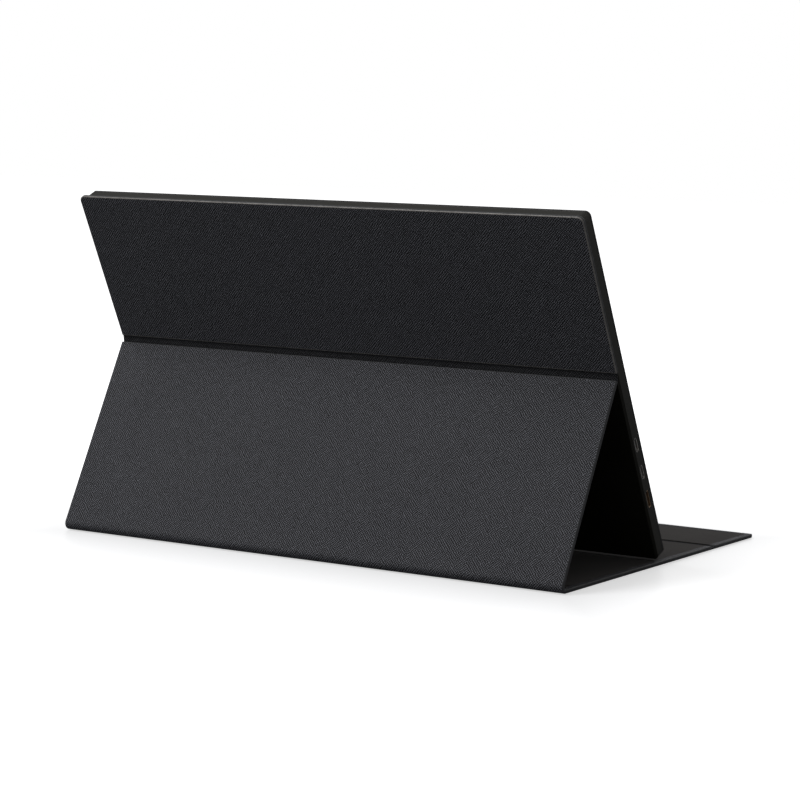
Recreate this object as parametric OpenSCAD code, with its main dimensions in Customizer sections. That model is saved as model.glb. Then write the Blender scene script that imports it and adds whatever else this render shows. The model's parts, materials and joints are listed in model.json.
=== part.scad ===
// Slim portable monitor in a folding cover that stands it up.
// X runs along the width, Y from the front flap back to the foot of the stand, Z up.
// The origin is on the floor, in the middle of the area that the whole part covers.

/* [Cover] */
// How far the cover reaches past the monitor at each side
cover_overhang = 1.5; // [0.5:0.1:3]
// Leather on the outside of every panel
leather_t = 0.8; // [0.5:0.1:1.2]
// Stiffening board inside every panel
board_t = 1.0; // [0.6:0.1:1.6]
// Soft lining on the inside of every panel
lining_t = 0.6; // [0.4:0.1:1.0]
// Upper panel, from the middle crease to its top edge
upper_len = 101; // [80:0.1:110]
// Leg panel, from the foot bend to the middle crease
leg_len = 124.1; // [112:0.1:130]
// Spine strip on the floor beside the foot bend
spine_len = 11; // [8:0.5:16]
// Floor panel behind the first groove
rear_floor_len = 96.6; // [85:0.1:100]
// Floor panel between the two grooves
middle_floor_len = 66.5; // [50:0.1:80]
// Front flap, from the second groove to its tip
flap_len = 52.7; // [45:0.1:70]
// Outside radius of the leather where the leg bends to the floor
bend_r = 4; // [3.6:0.1:5.4]
// Radius of the free corners of the cover
cover_corner_r = 3.8; // [3:0.1:10]
// Softened edge all round each panel
cover_edge = 0.6; // [0.2:0.1:0.8]
// Bare leather between two boards at a crease
crease_gap = 5; // [4:0.1:7]
// How far a crease lies below the face of the lining
crease_sink = 0.8; // [0.3:0.1:1.0]
// How far a crease is drawn in at each side of the cover
crease_pinch = 0.2; // [0.1:0.1:1.5]
// Thickness of the leather at the middle crease
crease_leather_t = 1.2; // [0.8:0.1:1.6]
// Leather border that is turned in round the lining
border_w = 3.6; // [2.5:0.1:6]
// Margin from a panel's edge to its board
board_margin = 1.6; // [1.2:0.1:2.2]
// Depth of the pressed grooves in the lining of the floor panels
groove_depth = 0.35; // [0.1:0.05:0.35]
// Width of the pressed grooves
groove_w = 2.4; // [1.5:0.1:4]

/* [Stand] */
// Lean of the screen back from upright
tilt = 24.6; // [24:0.1:27]
// Lean of the leg from upright
leg_lean = 27.3; // [25:0.1:30]
// Height of the monitor's bottom corner above the floor panel
seat_gap = 0.3; // [0.2:0.05:0.6]
// Gap between the upper panel's lining and the monitor's back
back_gap = 0.25; // [0.1:0.05:0.5]

/* [Monitor body] */
// Thickness of the body
body_t = 9; // [9:0.1:11]
// Radius of the body's corners, seen from the front
body_corner_r = 3.2; // [3:0.1:8]
// Chamfer along the rear edge
rear_chamfer = 1.2; // [0.6:0.1:1.2]
// Back wall of the rear casing
back_wall = 1.1; // [0.9:0.05:1.2]
// Side walls of the rear casing and the bezel
side_wall = 1.2; // [0.9:0.05:1.3]
// Depth of the front bezel at the side of the body
bezel_t = 1.8; // [1.5:0.1:1.8]
// Lip of the bezel over the screen
bezel_lip = 0.7; // [0.5:0.05:0.9]
// Height of the bezel's skirt inside the rear casing
skirt_h = 0.9; // [0.6:0.1:0.9]
// Thickness of the bezel's skirt
skirt_t = 0.7; // [0.5:0.05:0.75]

/* [Screen] */
// Width of the lit area
lit_w = 344.2; // [330:0.1:345]
// Height of the lit area
lit_h = 193.6; // [185:0.1:194]
// Body beside the lit area, at each side
side_border = 6.4; // [5.2:0.1:8]
// Body above the lit area
top_border = 7; // [6.5:0.1:8]
// Body below the lit area
bottom_border = 23.5; // [20:0.1:28]
// Reveal between the lit area and the bezel
reveal = 0.6; // [0.3:0.1:0.9]
// Screen module outside the lit area, at the top and sides
module_border = 2.4; // [1.8:0.1:2.5]
// Screen module below the lit area, with its driver strip
module_foot = 13; // [10:0.5:13]
// Thickness of the liquid crystal cell
cell_t = 1.2; // [0.8:0.05:1.3]
// Sheet metal of the backlight tray
tray_t = 0.25; // [0.2:0.05:0.3]
// White reflector sheet
reflector_t = 0.15; // [0.1:0.05:0.2]
// Clear light guide
guide_t = 0.6; // [0.4:0.05:0.7]
// Stack of diffuser sheets
diffuser_t = 0.2; // [0.15:0.05:0.25]
// Step of the panel frame between the sheets and the cell
frame_step = 0.2; // [0.15:0.05:0.3]

/* [Connectors] */
// Height of the upper flat oval socket above the bottom edge
upper_socket_y = 76.5; // [70:0.5:84]
// Height of the lower flat oval socket above the bottom edge
lower_socket_y = 58.3; // [54:0.1:60]
// Height of the picture socket above the bottom edge
picture_socket_y = 39.9; // [36:0.1:42]
// Sockets' distance from the back of the body to their middle
socket_z = 4; // [3.9:0.05:4]
// Length of the opening of a flat oval socket
oval_l = 8.34; // [8:0.02:8.6]
// Height of the opening of a flat oval socket
oval_h = 2.56; // [2.4:0.02:2.6]
// Length of the opening of the picture socket
picture_l = 10.4; // [10:0.1:11]
// Height of the opening of the picture socket
picture_h = 2.4; // [2.2:0.05:2.6]
// Sheet metal round every socket
socket_wall = 0.3; // [0.2:0.05:0.35]
// Depth of every socket
socket_depth = 7.4; // [6:0.1:9]
// Bore of the headphone socket
jack_bore_r = 1.8; // [1.75:0.01:1.85]
// Length of that bore
jack_bore_l = 12; // [10:0.5:14]
// Height of the headphone socket above the bottom edge
jack_y = 38; // [34:0.5:42]
// Wall round the bore of the headphone socket
jack_wall = 0.35; // [0.3:0.05:0.4]

/* [Buttons] */
// Height of the power button above the bottom edge
power_y = 79; // [76:0.5:84]
// Height of the menu rocker above the bottom edge
rocker_y = 59; // [56:0.5:61]
// Length of the power button
power_l = 9; // [7:0.5:11]
// Length of the menu rocker
rocker_l = 15; // [12:0.5:18]
// Width of both buttons
button_w = 2.8; // [2:0.1:3.2]
// How far both buttons stand out of the side
button_proud = 0.4; // [0.2:0.05:0.6]
// Travel of the power button
power_travel = 0.4; // [0.2:0.05:0.5]
// Free space round both buttons
button_gap = 0.25; // [0.15:0.05:0.4]

/* [Inside] */
// Thickness of the circuit boards
pcb_t = 0.8; // [0.6:0.1:1.0]
// Height of the pads that the boards stand on
pad_h = 0.3; // [0.2:0.05:0.3]
// Width of the main board
main_w = 64; // [56:1:70]
// Height of the main board
main_h = 66; // [60:1:70]
// Width of the button board
button_board_w = 19; // [17:0.5:22]
// Height of the button board
button_board_h = 62; // [60:1:70]
// Length of a speaker
speaker_l = 46; // [36:1:55]
// Width of a speaker
speaker_w = 15; // [12:0.5:16]
// Thickness of a speaker
speaker_t = 3.0; // [2.4:0.1:3.0]
// Free space between the main board and the speaker beside it
speaker_gap = 12.2; // [6:0.1:18]
// Height of the speakers above the bottom edge
speaker_y = 38; // [34:1:40]
// Slots in the grille behind each speaker
grille_slots = 9; // [5:1:9]
// Width of a grille slot
slot_w = 1.2; // [0.8:0.1:1.6]
// Length of a magnet
magnet_l = 24; // [16:1:30]
// Width of a magnet
magnet_w = 6; // [4:0.5:8]
// Distance from one magnet to the next
magnet_pitch = 56; // [36:1:58]
// Distance from the body's top edge to the magnets
magnet_inset = 22; // [12:0.5:26]
// Distance of each magnet in the flap from the middle
closing_magnet_x = 120; // [60:1:150]
// Thickness of a magnet in the body
magnet_t = 1.2; // [0.8:0.1:1.6]
// Diameter of the small screws' heads
screw_head_d = 3; // [2.4:0.1:3.2]
// Diameter of the small screws' shanks
screw_d = 1.6; // [1.2:0.1:1.8]
// Clearance round pieces that drop into a pocket
fit_gap = 0.1; // [0.05:0.01:0.15]

/* [Hidden] */
$fn = 48;
overcut = 1;

cover_w = lit_w + 2 * side_border + 2 * cover_overhang;
panel_t = leather_t + board_t + lining_t;
board_corner_r = cover_corner_r - board_margin;
first_groove = spine_len + rear_floor_len;
second_groove = first_groove + middle_floor_len;
floor_len = second_groove + flap_len;
base_len = second_groove - crease_gap / 2;
// Middle of the foot bend, which is also the axis that the leg turns on
foot_y = (floor_len - bend_r) / 2;
foot_z = bend_r;
// Angle of the monitor above the floor, and the turn from the floor up into the leg
rise = 90 - tilt;
leg_turn = 90 + leg_lean;
// Start of the leg's outer face, where it leaves the bend
leg_y0 = foot_y + bend_r * sin(leg_turn);
leg_z0 = foot_z - bend_r * cos(leg_turn);
// Middle crease axis, at the middle of the panels' thickness
mid_y = leg_y0 + leg_len * cos(leg_turn) - panel_t / 2 * sin(leg_turn);
mid_z = leg_z0 + leg_len * sin(leg_turn) + panel_t / 2 * cos(leg_turn);
// Part of the monitor below the middle crease, so that its corner meets the floor panel
below = (mid_z + (panel_t / 2 + back_gap) * cos(rise) - panel_t - seat_gap) / sin(rise);

body_w = lit_w + 2 * side_border;
body_h = bottom_border + lit_h + top_border;
half_w = body_w / 2;
cavity_w = body_w - 2 * side_wall;
cavity_h = body_h - 2 * side_wall;
seam_z = body_t - bezel_t;
lit_y = bottom_border;
module_w = lit_w + 2 * module_border;
module_y = lit_y - module_foot;
module_h = module_foot + lit_h + module_border;
cell_z = body_t - bezel_lip - cell_t;
diffuser_z = cell_z - frame_step - diffuser_t;
guide_z = diffuser_z - guide_t;
reflector_z = guide_z - reflector_t;
tray_z = reflector_z - tray_t;
frame_w = 1.2;
sheet_margin = tray_t + frame_w + fit_gap;
led_h = 2;
pcb_z = back_wall + pad_h;
pcb_top = pcb_z + pcb_t;
main_x = -cavity_w / 2 + fit_gap;
main_y = picture_socket_y - 13;
button_board_x = cavity_w / 2 - fit_gap - 1.6 - button_board_w;
button_board_y = jack_y - 8;
oval_out_l = oval_l + 2 * socket_wall;
oval_out_h = oval_h + 2 * socket_wall;
picture_out_l = picture_l + 2 * socket_wall;
picture_out_h = picture_h + 2 * socket_wall;
socket_gap = 0.15;
socket_sunk = 0.2;
jack_r = jack_bore_r + jack_wall;
jack_z = tray_z - fit_gap - jack_r;
jack_block_l = jack_bore_l + 1.2;
jack_block_w = 6;
button_z = body_t / 2 - 0.5;
switch_depth = 2.2;
flange_t = 0.6;
speaker_x = -(main_x + main_w) - speaker_gap - speaker_l / 2;
magnet_y = body_h - magnet_inset;
magnet_xs = [for (i = [-2.5:2.5]) i * magnet_pitch];
closing_magnet_xs = [-closing_magnet_x, closing_magnet_x];
driver_h = 9;
driver_t = 0.7;
driver_z = tray_z - driver_t;
driver_chip_l = 12;
driver_chip_xs = [-50, 0, 45];
plug_w = 20;
plug_inset = 20;
plug_x = main_x + main_w - plug_inset;
driver_w = plug_w + 4 - 2 * plug_x;
plug_t = 1.0;
main_plug_y = main_y + 3;
plug_h = 4;
tongue_gap = 0.82;
tongue_t = 0.7;
ribbon_w = 5;
ribbon_tuck = 6;
main_screws = [[10, 5], [main_w - 5, 5], [main_w - 5, main_h - 5]];
button_screws = [[3, 21.5], [3, button_board_h - 3]];
button_board_inset = half_w - socket_sunk - (button_board_x + button_board_w);
switch_face = cavity_w / 2 - flange_t - power_travel - 2 * fit_gap;
switch_ys = [power_y, rocker_y - rocker_l / 2 + 2, rocker_y + rocker_l / 2 - 2];
leather_black = "#26272b";
lining_grey = "#45423f";
board_grey = "#8d8478";
body_black = "#2b2826";
board_green = "#1f5a3a";
steel_grey = "#b9bcc0";

// Shapes that several pieces share

// Flat plate that starts square at y = 0 and ends at y = l with two round corners
module soft_plate(w, l, t, r, e) {
  hull()
    for (layer = [[0, e], [e, 0]]) {
      low = layer[0];
      inset = layer[1];
      for (side = [-1, 1])
        translate([side * (w / 2 - r), l - r, low])
          cylinder(r = r - inset, h = t - 2 * low, $fn = 32);
      translate([-w / 2 + inset, 0, low])
        cube([w - 2 * inset, e, t - 2 * low]);
    }
}

// Section of a panel's two soft edges, drawn across the width
module edge_section(w, t, e) {
  translate([-w / 2 + e, 0])
    square([w - 2 * e, t]);
  translate([-w / 2, e])
    square([w, t - 2 * e]);
  for (x = [-w / 2 + e, w / 2 - e], y = [e, t - e])
    translate([x, y])
      circle(e);
}

// Panel without a free end, from y = 0 to y = l
module soft_strip(w, l, t, e) {
  translate([0, l, 0])
    rotate([90, 0, 0])
      linear_extrude(l)
        edge_section(w, t, e);
}

// Section in the plane of the sides, carried along the whole width
module along_width(w) {
  rotate([90, 0, 90])
    translate([0, 0, -w / 2])
      linear_extrude(w)
        children();
}

module centred_box(w, l, h) {
  translate([-w / 2, 0, 0])
    cube([w, l, h]);
}

module round_rect(w, h, r) {
  translate([-w / 2 + r, 0])
    square([w - 2 * r, h]);
  translate([-w / 2, r])
    square([w, h - 2 * r]);
  for (x = [-w / 2 + r, w / 2 - r], y = [r, h - r])
    translate([x, y])
      circle(r);
}

// Slot with round ends, its length along y
module slot_2d(l, w) {
  translate([-w / 2, -l / 2 + w / 2])
    square([w, l - w]);
  for (y = [-l / 2 + w / 2, l / 2 - w / 2])
    translate([0, y])
      circle(w / 2);
}

// Where the pieces stand

// Floor panels: y from the foot bend towards the front
module on_floor_panel(start = 0) {
  translate([0, foot_y - start, 0])
    rotate(180)
      children();
}

module on_leg() {
  translate([0, leg_y0, leg_z0])
    rotate([leg_turn, 0, 0])
      children();
}

// Upper panel: y from the middle crease upwards, z from the outer face to the lining
module on_upper() {
  translate([0, mid_y, mid_z])
    rotate([rise, 0, 0])
      translate([0, 0, -panel_t / 2])
        children();
}

// Monitor: y from its bottom edge upwards, z from its back to its screen
module on_monitor() {
  on_upper()
    translate([0, -below, panel_t + back_gap])
      children();
}

// Boards lie in a pocket of the leather, the lining in a recess over them

module board(l, margin_end) {
  translate([0, board_margin, leather_t])
    linear_extrude(board_t)
      round_rect(cover_w - 2 * board_margin, l - board_margin - margin_end, board_corner_r);
}

module board_pocket(l, margin_end) {
  translate([0, board_margin - fit_gap, leather_t])
    linear_extrude(board_t)
      round_rect(cover_w - 2 * board_margin + 2 * fit_gap,
                 l - board_margin - margin_end + 2 * fit_gap, board_corner_r + fit_gap);
}

module lining_sheet(l, border_end, gap) {
  translate([0, 0, leather_t + board_t])
    centred_box(cover_w - 2 * border_w + 2 * gap, l - border_end + gap, lining_t);
}

// Cover, on the floor

module base_skin() {
  color(leather_black)
    on_floor_panel()
      difference() {
        soft_strip(cover_w, base_len, panel_t, cover_edge);
        base_board_places()
          board_pocket_box($length);
        translate([0, -overcut, leather_t + board_t])
          centred_box(cover_w - 2 * border_w + 2 * fit_gap, base_len + 2 * overcut, panel_t);
        for (s = [spine_len, first_groove])
          for (side = [-1, 1])
            translate([side * cover_w / 2, s, -overcut])
              rotate([0, 0, 45])
                translate([-crease_pinch / 2, -crease_pinch / 2, 0])
                  cube([crease_pinch, crease_pinch, panel_t + 2 * overcut]);
      }
}

// Start and length of the three boards in the base
module base_board_places() {
  translate([0, board_margin, leather_t])
    board_of(spine_len - crease_gap / 2 - board_margin)
      children();
  translate([0, spine_len + crease_gap / 2, leather_t])
    board_of(rear_floor_len - crease_gap)
      children();
  translate([0, first_groove + crease_gap / 2, leather_t])
    board_of(middle_floor_len - crease_gap - board_margin)
      children();
}

module board_of(l) {
  $length = l;
  children();
}

module board_pocket_box(l) {
  translate([0, -fit_gap, 0])
    centred_box(cover_w - 2 * board_margin + 2 * fit_gap, l + 2 * fit_gap, board_t);
}

module floor_board(start, l) {
  color(board_grey)
    on_floor_panel()
      translate([0, start, leather_t])
        centred_box(cover_w - 2 * board_margin, l, board_t);
}

module spine_board() {
  floor_board(board_margin, spine_len - crease_gap / 2 - board_margin);
}

module rear_floor_board() {
  floor_board(spine_len + crease_gap / 2, rear_floor_len - crease_gap);
}

module middle_floor_board() {
  floor_board(first_groove + crease_gap / 2, middle_floor_len - crease_gap - board_margin);
}

module base_lining() {
  color(lining_grey)
    on_floor_panel()
      difference() {
        lining_sheet(base_len, 0, 0);
        for (s = [spine_len, first_groove])
          translate([0, s - groove_w / 2, panel_t - groove_depth])
            centred_box(cover_w, groove_w, overcut);
      }
}

module foot_bend() {
  reach = 2 * bend_r;
  color(leather_black)
    translate([0, foot_y, foot_z])
      along_width(cover_w)
        difference() {
          circle(bend_r);
          circle(bend_r - panel_t);
          polygon(concat([[0, 0]],
            [for (i = [0:4]) let (a = leg_lean + (270 - leg_lean) * i / 4) reach * [cos(a), sin(a)]]));
        }
}

// Cover, behind the screen

module leg_skin() {
  l = leg_len - crease_gap / 2;
  color(leather_black)
    on_leg()
      difference() {
        soft_strip(cover_w, l, panel_t, cover_edge);
        board_pocket(l, board_margin);
        translate([0, -overcut, 0])
          lining_sheet(l + 2 * overcut, 0, fit_gap);
      }
}

module leg_board() {
  color(board_grey)
    on_leg()
      board(leg_len - crease_gap / 2, board_margin);
}

module leg_lining() {
  color(lining_grey)
    on_leg()
      lining_sheet(leg_len - crease_gap / 2, 0, 0);
}

// Bent strip of leather, mitred where its two halves meet
module middle_crease() {
  half_t = crease_leather_t / 2;
  half_gap = crease_gap / 2;
  to_leg = [-cos(leg_turn), -sin(leg_turn)];
  to_upper = [cos(rise), sin(rise)];
  leg_side = [-sin(leg_turn), cos(leg_turn)];
  upper_side = [-sin(rise), cos(rise)];
  mitre_turn = 90 + (leg_turn + rise) / 2;
  mitre = half_t / cos((leg_turn - rise) / 2) * [cos(mitre_turn), sin(mitre_turn)];
  color(leather_black)
    translate([0, mid_y, mid_z])
      along_width(cover_w - 2 * crease_pinch)
        polygon([half_gap * to_leg - half_t * leg_side, -mitre,
                 half_gap * to_upper - half_t * upper_side,
                 half_gap * to_upper + half_t * upper_side, mitre,
                 half_gap * to_leg + half_t * leg_side]);
}

module upper_skin() {
  l = upper_len - crease_gap / 2;
  color(leather_black)
    on_upper()
      translate([0, crease_gap / 2, 0])
        difference() {
          soft_plate(cover_w, l, panel_t, cover_corner_r, cover_edge);
          board_pocket(l, board_margin);
          translate([0, -overcut, 0])
            lining_sheet(l + overcut, border_w, fit_gap);
        }
}

module upper_board() {
  color(board_grey)
    on_upper()
      difference() {
        translate([0, crease_gap / 2, 0])
          board(upper_len - crease_gap / 2, board_margin);
        magnet_row(magnet_xs, magnet_y - below, leather_t - overcut, board_t + 2 * overcut, fit_gap);
      }
}

module upper_lining() {
  color(lining_grey)
    on_upper()
      translate([0, crease_gap / 2, 0])
        lining_sheet(upper_len - crease_gap / 2, border_w, 0);
}

module magnet_row(xs, y, z, h, gap) {
  for (x = xs)
    translate([x, y - magnet_w / 2 - gap, z])
      centred_box(magnet_l + 2 * gap, magnet_w + 2 * gap, h);
}

module holding_magnets() {
  color(steel_grey)
    on_upper()
      magnet_row(magnet_xs, magnet_y - below, leather_t, board_t, 0);
}

// Cover, front flap

module front_crease() {
  color(leather_black)
    on_floor_panel(second_groove - crease_gap / 2)
      centred_box(cover_w - 2 * crease_pinch, crease_gap, panel_t - crease_sink);
}

module on_flap() {
  on_floor_panel(second_groove + crease_gap / 2)
    children();
}

module flap_skin() {
  l = flap_len - crease_gap / 2;
  color(leather_black)
    on_flap()
      difference() {
        soft_plate(cover_w, l, panel_t, cover_corner_r, cover_edge);
        board_pocket(l, board_margin);
        translate([0, -overcut, 0])
          lining_sheet(l + overcut, border_w, fit_gap);
      }
}

module flap_board() {
  l = flap_len - crease_gap / 2;
  color(board_grey)
    on_flap()
      difference() {
        board(l, board_margin);
        magnet_row(closing_magnet_xs, l - 2 * magnet_w, leather_t - overcut,
                   board_t + 2 * overcut, fit_gap);
      }
}

module flap_lining() {
  color(lining_grey)
    on_flap()
      lining_sheet(flap_len - crease_gap / 2, border_w, 0);
}

module closing_magnets() {
  color(steel_grey)
    on_flap()
      magnet_row(closing_magnet_xs, flap_len - crease_gap / 2 - 2 * magnet_w, leather_t, board_t, 0);
}

// Monitor, outer shells

module body_block(h) {
  translate([0, 0, rear_chamfer])
    linear_extrude(h - rear_chamfer)
      round_rect(body_w, body_h, body_corner_r);
  hull() {
    translate([0, rear_chamfer, 0])
      linear_extrude(2 * rear_chamfer)
        round_rect(body_w - 2 * rear_chamfer, body_h - 2 * rear_chamfer,
                   body_corner_r - rear_chamfer, $fn = 32);
    translate([0, 0, rear_chamfer])
      linear_extrude(rear_chamfer)
        round_rect(body_w, body_h, body_corner_r, $fn = 32);
  }
}

module rear_casing() {
  color(body_black)
    on_monitor()
      difference() {
        union() {
          difference() {
            body_block(seam_z);
            translate([0, side_wall, back_wall])
              linear_extrude(body_t)
                round_rect(cavity_w, cavity_h, body_corner_r - side_wall);
          }
          board_pads();
          magnet_ribs();
        }
        socket_windows();
        button_windows();
        speaker_grilles();
        screw_places()
          translate([0, 0, back_wall - 0.5])
            cylinder(d = screw_d, h = body_t);
      }
}

// Pads that the main board and the button board are screwed to
module board_pads() {
  screw_places()
    cylinder(d = screw_head_d + 2, h = pcb_z);
}

// Low ribs that hold each magnet in its place
module magnet_ribs() {
  for (x = magnet_xs, side = [-1, 1])
    translate([x + side * (magnet_l / 2 + fit_gap + 0.5), magnet_y - magnet_w / 2, 0])
      centred_box(1, magnet_w, back_wall + magnet_t);
}

module screw_places() {
  for (p = main_screws)
    translate([main_x + p[0], main_y + p[1], 0])
      children();
  for (p = button_screws)
    translate([button_board_x + p[0], button_board_y + p[1], 0])
      children();
}

// Openings in the side wall, as deep as the wall
module through_left_wall(y, z) {
  translate([-half_w - overcut, y, z])
    rotate([90, 0, 90])
      linear_extrude(side_wall + 2 * overcut)
        children();
}

module through_right_wall(y, z) {
  translate([half_w - side_wall - overcut, y, z])
    rotate([90, 0, 90])
      linear_extrude(side_wall + 2 * overcut)
        children();
}

module socket_windows() {
  for (y = [upper_socket_y, lower_socket_y])
    through_left_wall(y, socket_z)
      rotate(90)
        slot_2d(oval_out_l + 2 * socket_gap, oval_out_h + 2 * socket_gap);
  through_left_wall(picture_socket_y, socket_z)
    picture_outline(picture_out_l + 2 * socket_gap, picture_out_h + 2 * socket_gap);
  through_right_wall(jack_y, jack_z)
    circle(jack_r + fit_gap);
}

module button_windows() {
  for (b = [[power_y, power_l], [rocker_y, rocker_l]])
    through_right_wall(b[0], button_z)
      rotate(90)
        slot_2d(b[1] + 2 * button_gap, button_w + 2 * button_gap);
}

module speaker_grilles() {
  pitch = (speaker_l - 8) / (grille_slots - 1);
  for (side = [-1, 1], i = [0:grille_slots - 1])
    translate([side * speaker_x - (speaker_l - 8) / 2 + i * pitch, speaker_y, -overcut])
      linear_extrude(back_wall + 2 * overcut)
        slot_2d(speaker_w - 5, slot_w);
}

module front_bezel() {
  window_w = lit_w + 2 * reveal;
  window_h = lit_h + 2 * reveal;
  skirt_w = cavity_w - 2 * fit_gap;
  skirt_l = cavity_h - 2 * fit_gap;
  skirt_r = body_corner_r - side_wall - fit_gap;
  color("#1b1a1a")
    on_monitor() {
      difference() {
        translate([0, 0, seam_z])
          linear_extrude(bezel_t)
            round_rect(body_w, body_h, body_corner_r);
        translate([0, lit_y - reveal, seam_z - overcut])
          centred_box(window_w, window_h, body_t);
        translate([0, side_wall + fit_gap + skirt_t, seam_z - overcut])
          linear_extrude(bezel_t - bezel_lip + overcut)
            round_rect(skirt_w - 2 * skirt_t, skirt_l - 2 * skirt_t, skirt_r - skirt_t);
      }
      translate([0, side_wall + fit_gap, seam_z - skirt_h])
        linear_extrude(skirt_h)
          difference() {
            round_rect(skirt_w, skirt_l, skirt_r);
            translate([0, skirt_t])
              round_rect(skirt_w - 2 * skirt_t, skirt_l - 2 * skirt_t, skirt_r - skirt_t);
          }
    }
}

// Monitor, screen module, from the front to the back

module lcd_cell() {
  color("#101214")
    on_monitor()
      translate([0, module_y + tray_t + fit_gap, cell_z])
        centred_box(module_w - 2 * tray_t - 2 * fit_gap, module_h - 2 * tray_t - 2 * fit_gap, cell_t);
}

module panel_frame() {
  w = module_w - 2 * tray_t - 2 * fit_gap;
  h = module_h - 2 * tray_t - 2 * fit_gap;
  base_z = tray_z + tray_t;
  color("#e8e8e4")
    on_monitor()
      translate([0, module_y + tray_t + fit_gap, base_z])
        difference() {
          centred_box(w, h, cell_z - base_z);
          translate([0, frame_w, -overcut])
            centred_box(w - 2 * frame_w, h - 2 * frame_w, body_t);
        }
}

module sheet_in_module(low, z, t) {
  translate([0, module_y + sheet_margin + low, z])
    centred_box(module_w - 2 * sheet_margin - 2 * fit_gap, module_h - 2 * sheet_margin - low, t);
}

module diffuser_sheets() {
  color("#f4f4ee")
    on_monitor()
      sheet_in_module(fit_gap, diffuser_z, diffuser_t);
}

module light_guide() {
  color("#dfeef2")
    on_monitor()
      sheet_in_module(led_h + 2 * fit_gap, guide_z, guide_t);
}

module reflector_sheet() {
  color("#fbfbfb")
    on_monitor()
      sheet_in_module(fit_gap, reflector_z, reflector_t);
}

module led_bar() {
  led_w = 3;
  led_pitch = 7;
  bar_w = module_w - 2 * sheet_margin - 2 * led_pitch;
  count = floor((bar_w - led_w) / led_pitch);
  color("#f2e7a0")
    on_monitor()
      translate([0, module_y + sheet_margin + fit_gap, guide_z]) {
        centred_box(bar_w, led_h / 2, guide_t);
        for (i = [0:count])
          translate([(i - count / 2) * led_pitch, led_h / 2, 0])
            centred_box(led_w, led_h / 2, guide_t);
      }
}

module backlight_tray() {
  color(steel_grey)
    on_monitor()
      translate([0, module_y, tray_z])
        difference() {
          centred_box(module_w, module_h, cell_z + cell_t / 2 - tray_z);
          translate([0, tray_t, tray_t])
            centred_box(module_w - 2 * tray_t, module_h - 2 * tray_t, body_t);
        }
}

// Monitor, electronics

module driver_board() {
  color(board_green)
    on_monitor() {
      translate([0, module_y + 1, driver_z])
        centred_box(driver_w, driver_h, driver_t);
      translate([plug_x, module_y + 2.5, driver_z - plug_t])
        centred_box(plug_w, plug_h, plug_t);
      for (x = driver_chip_xs)
        translate([x, module_y + 2.5, driver_z - 0.8])
          centred_box(driver_chip_l, 5, 0.8);
    }
}

// Flat ribbon from the driver board's plug to the main board's plug
module display_ribbon() {
  t = 0.3;
  y0 = module_y + 2.5;
  z0 = driver_z - plug_t - t;
  y1 = main_plug_y + plug_h;
  z1 = pcb_top + plug_t;
  color("#c9a24a")
    on_monitor()
      translate([plug_x, 0, 0])
        along_width(plug_w - 2)
          polygon([[y0, z0], [y0 + plug_h, z0], [main_plug_y, z1], [y1, z1],
                   [y1, z1 + t], [main_plug_y, z1 + t], [y0 + plug_h, z0 + t], [y0, z0 + t]]);
}

module pcb_plate(x, y, w, h) {
  translate([x, y, pcb_z])
    cube([w, h, pcb_t]);
}

module main_board() {
  color(board_green)
    on_monitor() {
      difference() {
        pcb_plate(main_x, main_y, main_w, main_h);
        for (p = main_screws)
          translate([main_x + p[0], main_y + p[1], 0])
            cylinder(d = screw_d + 2 * fit_gap, h = body_t);
      }
      translate([plug_x, main_plug_y, pcb_top])
        centred_box(plug_w, plug_h, plug_t);
    }
}

module board_chips() {
  color("#1c1d20")
    on_monitor()
      translate([main_x + main_w / 2, main_y + main_h / 2, pcb_top]) {
        translate([-8, -1, 0])
          cube([14, 14, 1.2]);
        translate([-8, -19, 0])
          cube([8, 6, 0.9]);
        translate([12, 1, 0])
          cube([9, 9, 1.0]);
        for (i = [0:3])
          translate([i * 6 - 16, 21, 0])
            cube([4, 4, 1.6]);
      }
}

// Sheet-metal sockets, mouth towards the outside of the left wall

module at_left_socket(y) {
  translate([-half_w + socket_sunk, y, socket_z])
    rotate([90, 0, 90])
      children();
}

module oval_socket(y) {
  on_monitor() {
    at_left_socket(y) {
      difference() {
        linear_extrude(socket_depth)
          rotate(90)
            slot_2d(oval_out_l, oval_out_h);
        translate([0, 0, -overcut])
          linear_extrude(socket_depth - 1 + overcut)
            rotate(90)
              slot_2d(oval_l, oval_h);
      }
      translate([tongue_gap - oval_l / 2, -tongue_t / 2, 0.8])
        cube([oval_l - 2 * tongue_gap, tongue_t, socket_depth - 1]);
    }
    socket_foot(y, oval_out_l - oval_out_h, oval_out_h);
  }
}

// Solder foot between the board and the shell of a socket
module socket_foot(y, l, h) {
  foot_x = main_x + fit_gap;
  translate([foot_x, y - l / 2, pcb_top])
    cube([socket_depth - side_wall - socket_sunk - 0.6, l, socket_z - h / 2 - pcb_top + socket_wall / 2]);
}

module usb_c_socket_upper() {
  color(steel_grey)
    oval_socket(upper_socket_y);
}

module usb_c_socket_lower() {
  color(steel_grey)
    oval_socket(lower_socket_y);
}

// Outline with two sloping corners, wide side towards the screen
module picture_outline(l, h) {
  cut = h * 0.35;
  polygon([[-l / 2 + cut, -h / 2], [l / 2 - cut, -h / 2], [l / 2, -h / 2 + cut],
           [l / 2, h / 2], [-l / 2, h / 2], [-l / 2, -h / 2 + cut]]);
}

module mini_picture_socket() {
  color(steel_grey)
    on_monitor() {
      at_left_socket(picture_socket_y) {
        difference() {
          linear_extrude(socket_depth)
            picture_outline(picture_out_l, picture_out_h);
          translate([0, 0, -overcut])
            linear_extrude(socket_depth - 1 + overcut)
              picture_outline(picture_l, picture_h);
        }
        translate([-4, -0.2, 0.8])
          cube([8, 0.6, socket_depth - 1]);
      }
      socket_foot(picture_socket_y, picture_l - 3, picture_out_h);
    }
}

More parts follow.
